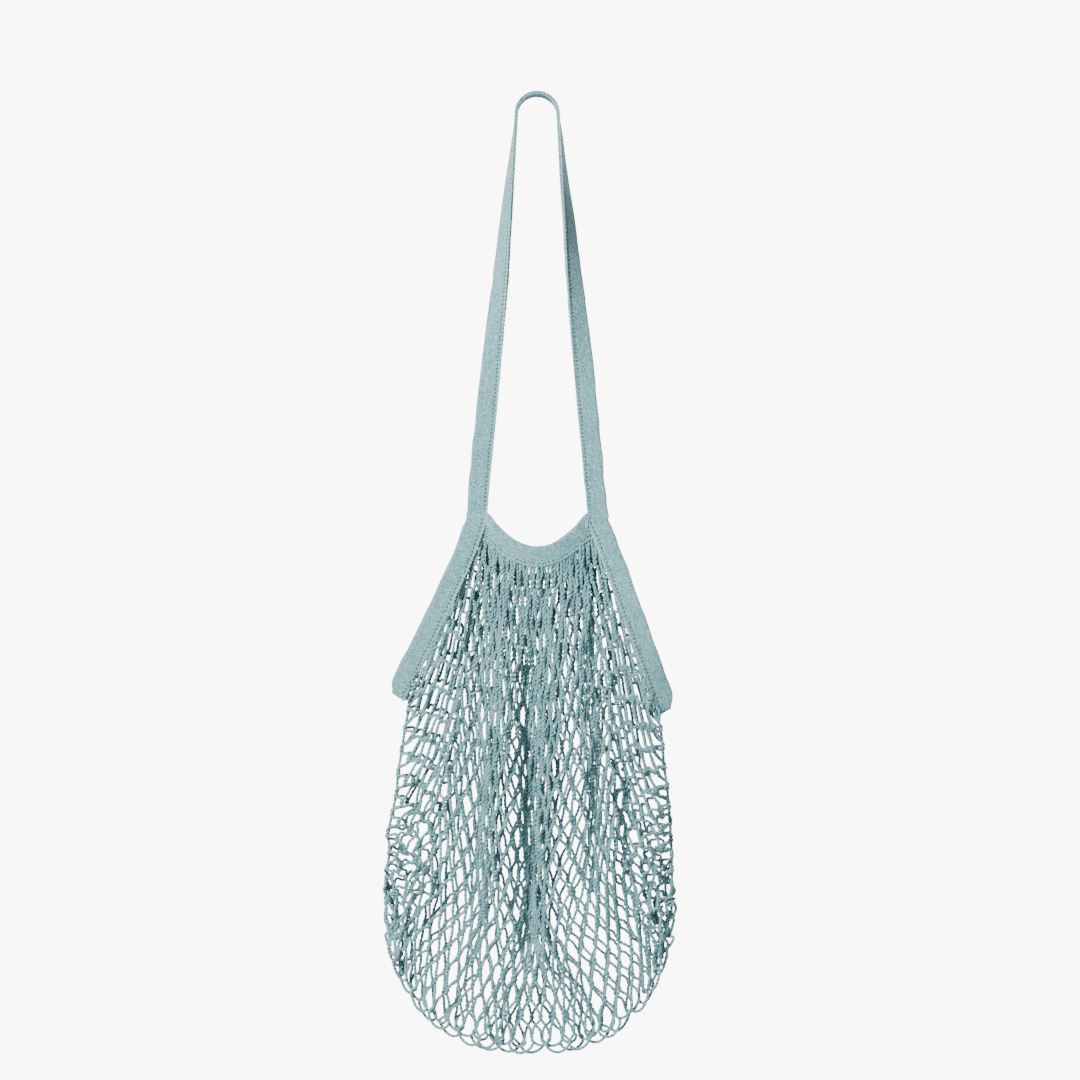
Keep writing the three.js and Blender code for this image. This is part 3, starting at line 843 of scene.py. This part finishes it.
for _ in range(SETTLING_ROUNDS):
    knot_points[free_knots] += (homes[free_knots] - knot_points[free_knots]) * HOME_PULL
    correct(knot_points, below, np.greater, YARN_RUN * 0.97, RUN_PULL)
    correct(knot_points, beside, np.less, LEAST_BESIDE, BESIDE_PUSH)
knots[is_knot] = knot_points
longest = np.linalg.norm(knot_points[below[:, 1]] - knot_points[below[:, 0]], axis=1)
print("yarn between knots, mm:", np.percentile(longest, (0, 50, 100)) / MM)

# %% [markdown]
# ## Draw the yarns
# At a knot the two yarns lie side by side and turn once round each other. Between knots a yarn that is
# longer than the straight way bows out of it, away from its partner and a little off the cloth. That
# rounds the cells where the net is slack, and leaves them narrow where it hangs taut.

# %% Yarn lines through the knots
SOFT_YARN = 1.1 * YARN
PAIR_RADIUS = 0.43 * YARN
KNOT_HALF = 3.3 * MM
TWIST_POINTS = 5
NET_STEP = 1.35 * MM
NET_SIDES = 7
TUCK = 3 * MM
TAUT_BOW, SLACK_BOW, MOST_BOW = 0.10, 0.55, 6.5 * MM
yarn_rng = np.random.default_rng(21)


def knot_frame(k, j):
    """Down, sideways and outwards at one knot."""
    left, right = (k - 1) % COLUMNS, (k + 1) % COLUMNS
    above, under = max(j - 1, 0), min(j + 1, ROWS)
    down = np.array([0, 0, -1.0])
    if 0 < j < ROWS:
        down = unit(knots[[left, right], under].mean(axis=0) - knots[[left, right], above].mean(axis=0))
    wide = knots[right, under] - knots[left, under]
    wide = wide - down * wide.dot(down)
    wide = wide / max(np.linalg.norm(wide), 1e-9)
    return down, wide, np.cross(down, wide)


frames = {(k, j): knot_frame(k, j) for k in range(COLUMNS) for j in range(ROWS + 1) if is_knot[k, j]}


def twist_points(k, j, side, half):
    """The yarn's one turn round its partner at a knot."""
    down, wide, out = frames[k, j]
    points = []
    for share in np.linspace(0, 1, TWIST_POINTS):
        turn = 2 * math.pi * share
        ring = wide * math.cos(turn) + out * math.sin(turn)
        points.append(knots[k, j] + ring * side * PAIR_RADIUS + down * half * (2 * share - 1))
    return points


def bowed_middle(k, j, side, ahead):
    """The middle of the way to the next knot, bowed aside where the yarn is slack."""
    wide, out = frames[k, j][1:]
    span = ahead - knots[k, j]
    distance = np.linalg.norm(span)
    slack = max(YARN_RUN - distance, 0)
    across_face = abs((k % FACE_COLUMNS) / FACE_COLUMNS * 2 - 1)
    slackness = TAUT_BOW + SLACK_BOW * float(smoothstep(0.45, 0.88, across_face))
    bow = slackness * min(math.sqrt(3 * distance * slack / 8), MOST_BOW)
    away = wide * side
    away = away - span * (away.dot(span) / distance ** 2)
    away = away / max(np.linalg.norm(away), 1e-9)
    lift = yarn_rng.normal(0.15, 0.55)
    lean = away * math.cos(lift) + out * math.sin(lift)
    stray = yarn_rng.normal(0, 0.35 * MM, 3)
    return knots[k, j] + span * 0.5 + lean * bow + stray


def yarn_line(i):
    """One zigzag yarn from the tape to the bottom."""
    columns = [(i if (i + j) % 2 == 0 else i + 1) % COLUMNS for j in range(ROWS + 1)]
    line = []
    for j in range(ROWS):
        k = columns[j]
        point = knots[k, j]
        down, wide, _ = frames[k, j]
        side = 1 if k == i else -1
        beside_knot = point + wide * side * PAIR_RADIUS
        if j == 0:
            line += [beside_knot - down * TUCK, beside_knot]
        else:
            nearest = min(np.linalg.norm(knots[columns[n], n] - point) for n in (j - 1, j + 1))
            half = min(KNOT_HALF, 0.24 * nearest)
            if j == ROWS - 1:
                line += [beside_knot - down * half, point + wide * side * PAIR_RADIUS * 0.6]
                break
            line += twist_points(k, j, side, half)
        line.append(bowed_middle(k, j, side, knots[columns[j + 1], j + 1]))
    return smooth_line(np.array(line), NET_STEP)


yarns = [yarn_line(i) for i in range(COLUMNS)]
lengths = [run_lengths(line)[-1] / MM for line in yarns]
print("yarns:", len(yarns), "from", round(min(lengths)), "to", round(max(lengths)), "mm long")
LEG_YARNS = round(LEG_SHARE * FACE_COLUMNS)
groups = {
    "net_front_left": range(0, LEG_YARNS),
    "net_front_middle": range(LEG_YARNS, FACE_COLUMNS - LEG_YARNS),
    "net_front_right": range(FACE_COLUMNS - LEG_YARNS, FACE_COLUMNS),
    "net_back_right": range(FACE_COLUMNS, FACE_COLUMNS + LEG_YARNS),
    "net_back_middle": range(FACE_COLUMNS + LEG_YARNS, COLUMNS - LEG_YARNS),
    "net_back_left": range(COLUMNS - LEG_YARNS, COLUMNS),
}
net_pieces = {}
for name, members in groups.items():
    net_pieces[name] = tubes_object(f"{name}_yarns", [yarns[i] for i in members], SOFT_YARN, NET_SIDES)

# %% [markdown]
# ## Linking yarns
# A yarn runs down each side and joins the front to the back, once at each knot. Along the bottom the
# last row is one of rounded loops, long and short in turn, each hung from two knots. They leave the
# scalloped edge.

# %% Side and bottom linking yarns
SIDE_SWAY, SWAY_BACK = 2.2 * MM, 0.4
LOOP_SWAY = 1.3 * MM
SHORT_LOOP = 0.66
LONG_WIDTH, SHORT_WIDTH = 17 * MM, 11 * MM
LOOP_END = (0.02, -0.12)
# A loop's outline: how far across each of its points is, and how far down.
LOOP_SHAPE = ((0.02, 0.12), (0.0, 0.50), (0.17, 0.84), (0.5, 1.0),
              (0.83, 0.84), (1.0, 0.50), (0.98, 0.12))


def side_link(column):
    """A yarn down one side, over and under the knots there."""
    line = []
    for j in range(0, ROWS + 1, 2):
        point = knots[column, j]
        sway = SIDE_SWAY * (-1) ** (j // 2)
        line.append(point + (0, sway, 0))
        if j < ROWS:
            line.append((point + knots[column, j + 2]) / 2 + (0, -sway * SWAY_BACK, 0))
    return smooth_line(np.array(line), NET_STEP)


def bottom_loop(k):
    """A rounded loop that hangs from two neighbouring knots of the last row but one."""
    left, right = knots[(k - 1) % COLUMNS, ROWS - 1], knots[(k + 1) % COLUMNS, ROWS - 1]
    out = frames[(k - 1) % COLUMNS, ROWS - 1][2]
    is_long = (k // 2) % 2 == 0
    middle, across = (left + right) / 2, right - left
    fall = (knots[k, ROWS] - middle) * (1.0 if is_long else SHORT_LOOP)
    sway = out * (LOOP_SWAY if is_long else -LOOP_SWAY)
    widen = max(1.0, (LONG_WIDTH if is_long else SHORT_WIDTH) / np.linalg.norm(across))
    end_in, end_down = LOOP_END
    line = [left + across * end_in + fall * end_down]
    for share, depth in LOOP_SHAPE:
        low = smoothstep(0.1, 0.5, depth)
        wide = 1 + (widen - 1) * low
        line.append(middle + across * wide * (share - 0.5) + fall * depth + sway * low)
    line.append(right - across * end_in + fall * end_down)
    return smooth_line(np.array(line), NET_STEP)


side_links = {
    "left": tubes_object("left_side_linking_yarn", [side_link(0)], SOFT_YARN),
    "right": tubes_object("right_side_linking_yarn", [side_link(FACE_COLUMNS)], SOFT_YARN),
}
low_columns = [k for k in range(COLUMNS) if is_knot[k, ROWS] and k % FACE_COLUMNS]
bottom_loops = tubes_object("bottom_linking_loops", [bottom_loop(k) for k in low_columns], SOFT_YARN)

# %% [markdown]
# ## Materials
# All of it is cotton of one grey-green blue, and the differences are in how it was made. The tape is a
# fine knit with faint ribs and flecks where the dye took unevenly, with painted shade in a dashed row
# beside each seam. The yarn shows its twist as slanting plies, with painted shade in the grooves
# between them. Both patterns follow the cloth's own UV, so they bend with it.

# %% Material helpers
class Look:
    """A new material, with short names for the nodes its pattern is made of."""

    def __init__(self, name, roughness, sheen):
        self.material = bpy.data.materials.new(name)
        self.material.use_nodes = True
        self.nodes, self.links = self.material.node_tree.nodes, self.material.node_tree.links
        self.shader = self.nodes["Principled BSDF"]
        self.shader.inputs["Roughness"].default_value = roughness
        self.shader.inputs["Sheen Weight"].default_value = sheen
        self.shader.inputs["Sheen Roughness"].default_value = 0.6
        self.shader.inputs["Specular IOR Level"].default_value = 0.15

    def math(self, operation, first, second=None):
        node = self.nodes.new("ShaderNodeMath")
        node.operation = operation
        for value, socket in zip((first, second), node.inputs):
            if isinstance(value, (int, float)):
                socket.default_value = value
            elif value is not None:
                self.links.new(value, socket)
        return node.outputs[0]

    def times(self, value, factor):
        return self.math("MULTIPLY", value, factor)

    def sum_of(self, *parts):
        """Adds up values, each times its own factor."""
        total = self.times(*parts[0])
        for part in parts[1:]:
            total = self.math("ADD", total, self.times(*part))
        return total

    def uv(self, name):
        """Both parts of a UV map."""
        uv = self.nodes.new("ShaderNodeUVMap")
        uv.uv_map = name
        parts = self.nodes.new("ShaderNodeSeparateXYZ")
        self.links.new(uv.outputs["UV"], parts.inputs[0])
        return parts.outputs["X"], parts.outputs["Y"]

    def noise(self, scale, detail=3.0):
        node = self.nodes.new("ShaderNodeTexNoise")
        node.inputs["Scale"].default_value = scale
        node.inputs["Detail"].default_value = detail
        place = self.nodes.new("ShaderNodeTexCoord").outputs["Object"]
        self.links.new(place, node.inputs["Vector"])
        return node.outputs["Fac"]

    def ramp(self, value, places, colours):
        node = self.nodes.new("ShaderNodeValToRGB")
        while len(node.color_ramp.elements) < len(colours):
            node.color_ramp.elements.new(0.5)
        for element, place, colour in zip(node.color_ramp.elements, places, colours):
            element.position = place
            element.color = (*colour, 1)
        self.links.new(value, node.inputs["Fac"])
        return node.outputs["Color"]

    def colour(self, value):
        self.links.new(value, self.shader.inputs["Base Color"])

    def bumps(self, height, strength, distance, before=None):
        node = self.nodes.new("ShaderNodeBump")
        node.inputs["Strength"].default_value = strength
        node.inputs["Distance"].default_value = distance
        self.links.new(height, node.inputs["Height"])
        if before is not None:
            self.links.new(before, node.inputs["Normal"])
        self.links.new(node.outputs["Normal"], self.shader.inputs["Normal"])
        return node.outputs["Normal"]


# %% Knitted cotton tape
TAPE_COLOURS = ((0.046, 0.142, 0.160), (0.126, 0.306, 0.336), (0.255, 0.490, 0.530))
# The dark colour below is painted shade, laid in a dashed row beside each seam.
SEAM_SHADE_COLOUR = (0.020, 0.045, 0.050, 1)
RIB_WIDTH = 0.55
SEAM_SHADE_INSET, SEAM_SHADE_SHARPNESS = SEAM_INSET / CLOTH_UV_UNIT + 0.25, 1.25


def painted_seam_shade(look, across, along):
    """Painted shade in a dashed row beside the stitches, on both plies."""
    from_edge = look.math("MINIMUM", across, look.math("SUBTRACT", STRIP_WIDTH / CLOTH_UV_UNIT, across))
    off_seam = look.math("ABSOLUTE", look.math("SUBTRACT", from_edge, SEAM_SHADE_INSET))
    in_seam = look.math("SUBTRACT", 1.0, look.times(off_seam, SEAM_SHADE_SHARPNESS))
    dash = look.math("COSINE", look.times(along, 2 * math.pi * CLOTH_UV_UNIT / STITCH_PITCH))
    in_dash = look.math("MAXIMUM", look.math("ADD", dash, 0.5), 0.0)
    seam_shade = look.times(look.math("MAXIMUM", in_seam, 0.0), in_dash)
    return look.math("MINIMUM", look.times(seam_shade, 1.5), 0.92)


def tape_finish():
    look = Look("cotton_tape", 0.92, 0.25)
    across, along = look.uv("cloth")
    course = look.sum_of((along, 1.25), (look.math("PINGPONG", across, RIB_WIDTH), 1.1))
    loops = look.math("SINE", look.times(course, 2 * math.pi))
    rib = look.math("SINE", look.times(across, math.pi / RIB_WIDTH))
    knit = look.math("ADD", loops, rib)
    flecks, patches = look.noise(800.0), look.noise(90.0, 2.0)
    mixed = look.sum_of((flecks, 0.80), (patches, 0.12), (knit, 0.035))
    # The mix darkens the tape with painted shade in dashes beside each seam.
    shaded = look.nodes.new("ShaderNodeMix")
    shaded.data_type = "RGBA"
    look.links.new(painted_seam_shade(look, across, along), shaded.inputs["Factor"])
    look.links.new(look.ramp(mixed, (0.28, 0.46, 0.62), TAPE_COLOURS), shaded.inputs["A"])
    shaded.inputs["B"].default_value = SEAM_SHADE_COLOUR
    look.colour(shaded.outputs["Result"])
    low = look.bumps(knit, 0.55, 0.00022)
    look.bumps(flecks, 0.45, 0.00035, low)
    return look.material


# %% Twisted cotton yarn
YARN_COLOURS = ((0.024, 0.088, 0.100), (0.088, 0.245, 0.268), (0.210, 0.425, 0.460))
THREAD_COLOURS = ((0.085, 0.210, 0.228), (0.235, 0.455, 0.485), (0.41, 0.66, 0.70))


def yarn_finish(name, colours, fleck_scale):
    look = Look(name, 0.9, 0.3)
    around, along = look.uv("yarn")
    ply = look.math("COSINE", look.times(look.math("SUBTRACT", around, along), 4 * math.pi))
    fibres = look.math("SINE", look.times(look.sum_of((around, 9.0), (along, 1.0)), 2 * math.pi))
    flecks, patches = look.noise(fleck_scale, 4.0), look.noise(55.0, 2.0)
    # The ply term in the colour is painted shade: lighter on the crowns of the twisted plies, darker in
    # the grooves between them.
    mixed = look.sum_of((ply, 0.06), (fibres, 0.02), (flecks, 0.42), (patches, 0.22))
    look.colour(look.ramp(mixed, (0.14, 0.31, 0.47), colours))
    low = look.bumps(look.sum_of((ply, 1.0), (fibres, 0.25)), 0.7, 0.0003)
    look.bumps(flecks, 0.4, 0.0003, low)
    return look.material


cotton_tape = tape_finish()
cotton_yarn = yarn_finish("cotton_yarn", YARN_COLOURS, 700.0)
sewing_thread = yarn_finish("sewing_thread", THREAD_COLOURS, 900.0)
print("materials:", cotton_tape.name, cotton_yarn.name, sewing_thread.name)

# %% [markdown]
# ## Join the pieces to the bag's bodies
# Each piece moves with a body of the frame, except the side tapes, their seams and the middle of each
# face of the net, which are left without one.


def dress(made, material, slot, body, *nodes):
    """Gives a piece its material and, when one is given, its body, and hides the frame's nodes it stands
    for.
    """
    made.data.materials.clear()
    made.data.materials.append(material)
    if body:
        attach(made, body)
    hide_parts(*nodes)


dress(handle_tape, cotton_tape, "cotton_tape", "handle", "handle_tape")
dress(handle_seam, sewing_thread, "sewing_thread", "handle", "handle_stitching")
for name in ("left", "right"):
    dress(foot_tacks[name], sewing_thread, "sewing_thread", "handle", f"{name}_foot_tack")
    dress(side_tapes[name], cotton_tape, "cotton_tape", None, f"{name}_side_tape")
    dress(side_seams[name], sewing_thread, "sewing_thread", None, f"{name}_side_stitching")
    for made in (side_tapes[name], side_seams[name]):
        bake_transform(made)
    dress(side_links[name], cotton_yarn, "cotton_yarn", "bag", f"{name}_linking_yarn")
dress(bottom_loops, cotton_yarn, "cotton_yarn", "bag", "bottom_linking_yarn")
for face in ("front", "back"):
    dress(rim_tapes[face], cotton_tape, "cotton_tape", f"{face}_rim", f"{face}_rim_tape")
    dress(rim_seams[face], sewing_thread, "sewing_thread", f"{face}_rim", f"{face}_rim_stitching")
    for hand in ("left", "right"):
        dress(bar_tacks[face, hand], sewing_thread, "sewing_thread", "bag", f"{face}_{hand}_rim_tack")
        dress(net_pieces[f"net_{face}_{hand}"], cotton_yarn, "cotton_yarn", "bag", f"net_{face}")
    middle = net_pieces[f"net_{face}_middle"]
    dress(middle, cotton_yarn, "cotton_yarn", None, f"net_{face}")
    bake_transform(middle)
print("dressed: the handle, two sides, two rims and", len(net_pieces), "pieces of net")

for name, members in groups.items():
    face = "front" if "front" in name else "back"

# %% [markdown]
# ## Floor, light and camera
# The bag hangs free in a bright room. A large soft lamp high on the left gives the yarns their shape,
# a weaker one on the right keeps the shaded side open, and the pale floor lies just below the bag.

# %% Stage
FLOOR_DROP, FLOOR_SIDE = 190 * MM, 1.3
FLOOR_COLOURS = ((0.86, 0.86, 0.85), (0.88, 0.88, 0.87))
bpy.ops.object.select_all(action="DESELECT")
bpy.ops.mesh.primitive_plane_add(size=FLOOR_SIDE, location=(0, 0, NET_BOTTOM - FLOOR_DROP))
floor = bpy.context.object
floor.name = "pale_floor"
bpy.ops.object.transform_apply(location=True, rotation=True, scale=True)
pale = Look("pale_floor", 0.8, 0.0)
pale.colour(pale.ramp(pale.noise(3.0), (0.3, 0.7), FLOOR_COLOURS))
floor.data.materials.append(pale.material)

ROOM_LIGHT, ROOM_SEEN = 0.24, 9.0
world = bpy.data.worlds.new("bright_room")
bpy.context.scene.world = world
world.use_nodes = True
room = world.node_tree.nodes["Background"]
room.inputs["Color"].default_value = (1.0, 1.0, 0.995, 1)
seen = world.node_tree.nodes.new("ShaderNodeLightPath").outputs["Is Camera Ray"]
strength = world.node_tree.nodes.new("ShaderNodeMapRange")
strength.inputs["To Min"].default_value = ROOM_LIGHT
strength.inputs["To Max"].default_value = ROOM_SEEN
world.node_tree.links.new(seen, strength.inputs["Value"])
world.node_tree.links.new(strength.outputs["Result"], room.inputs["Strength"])


def soft_lamp(name, place, target, size, power):
    lamp = bpy.data.lights.new(name, "AREA")
    lamp.size = size
    lamp.energy = power
    made = bpy.data.objects.new(name, lamp)
    bpy.context.scene.collection.objects.link(made)
    made.location = place
    made.rotation_euler = (Vector(target) - Vector(place)).to_track_quat("-Z", "Y").to_euler()
    return made


BAG_MIDDLE = (0, 0, -0.42)
soft_lamp("key_lamp", (-0.9, -1.2, 0.55), BAG_MIDDLE, 0.35, 92)
soft_lamp("back_lamp", (0.9, 1.3, 0.3), BAG_MIDDLE, 0.6, 34)
soft_lamp("fill_lamp", (1.2, -1.0, -0.2), BAG_MIDDLE, 1.0, 3)

# %% Camera
CAMERA_BACK = 1.6
view_middle = Vector((2 * MM, -CAMERA_BACK, -320 * MM))
camera = bpy.data.objects.new("camera", bpy.data.cameras.new("camera"))
bpy.context.scene.collection.objects.link(camera)
camera.location = view_middle
camera.rotation_euler = (math.pi / 2, 0, 0)
camera.data.sensor_width = 36
camera.data.lens = 18 / (389 * MM / CAMERA_BACK)
bpy.context.scene.camera = camera
print("camera lens", round(camera.data.lens, 1), "mm")
